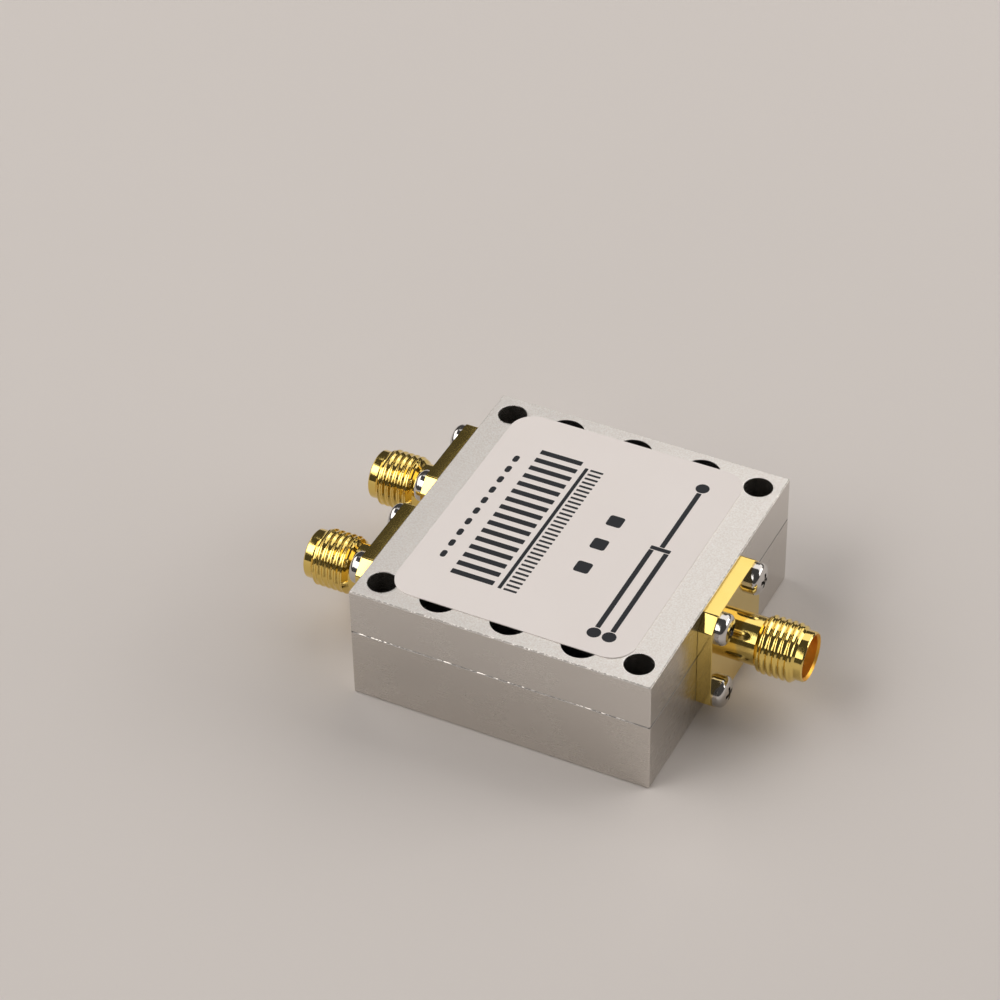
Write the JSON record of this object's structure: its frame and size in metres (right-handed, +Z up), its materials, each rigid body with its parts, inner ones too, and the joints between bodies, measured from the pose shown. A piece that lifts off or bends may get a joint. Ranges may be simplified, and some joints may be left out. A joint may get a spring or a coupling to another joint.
{
  "type": "rf power splitter",
  "caption": "Flat milled metal box with threaded coaxial jacks on opposite sides that splits one radio signal into two equal outputs; corner holes bolt it to a chassis.",
  "frame": {"origin": "middle of the housing's bottom face", "axes": "+X along the input jack's axis and out of it, +Y along the row of outputs, +Z up through the cover"},
  "size_m": [0.0542, 0.036, 0.0141],
  "materials": {
    "base_metal": "satin milled nickel plate",
    "cover_metal": "bead blasted nickel plate",
    "label_film": "satin white film",
    "cover_screw_steel": "dark stainless",
    "laminate": "matt glass laminate",
    "copper": "bare copper",
    "trace_metal": "gold flash on copper",
    "chip_ceramic": "glazed black film",
    "screw_steel": "bright nickel plate",
    "solder": "bright solder",
    "gold_plate": "polished gold plate",
    "insulator_white": "waxy white",
    "contact_gold": "gold plate"
  },
  "bodies": {
    "root": {"base_housing": "base_metal", "top_cover": "cover_metal", "label": "label_film", "cover_screws": "cover_screw_steel", "circuit_board": "laminate", "ground_layer": "copper", "splitter_trace": "trace_metal", "isolation_resistors": "chip_ceramic", "board_screws": "screw_steel", "solder_joints": "solder", "input_connector_shell": "gold_plate", "input_insulator": "insulator_white", "input_contact": "contact_gold", "input_flange_screws": "screw_steel", "output_1_connector_shell": "gold_plate", "output_1_insulator": "insulator_white", "output_1_contact": "contact_gold", "output_1_flange_screws": "screw_steel", "output_2_connector_shell": "gold_plate", "output_2_insulator": "insulator_white", "output_2_contact": "contact_gold", "output_2_flange_screws": "screw_steel"}
  },
  "joints": []
}
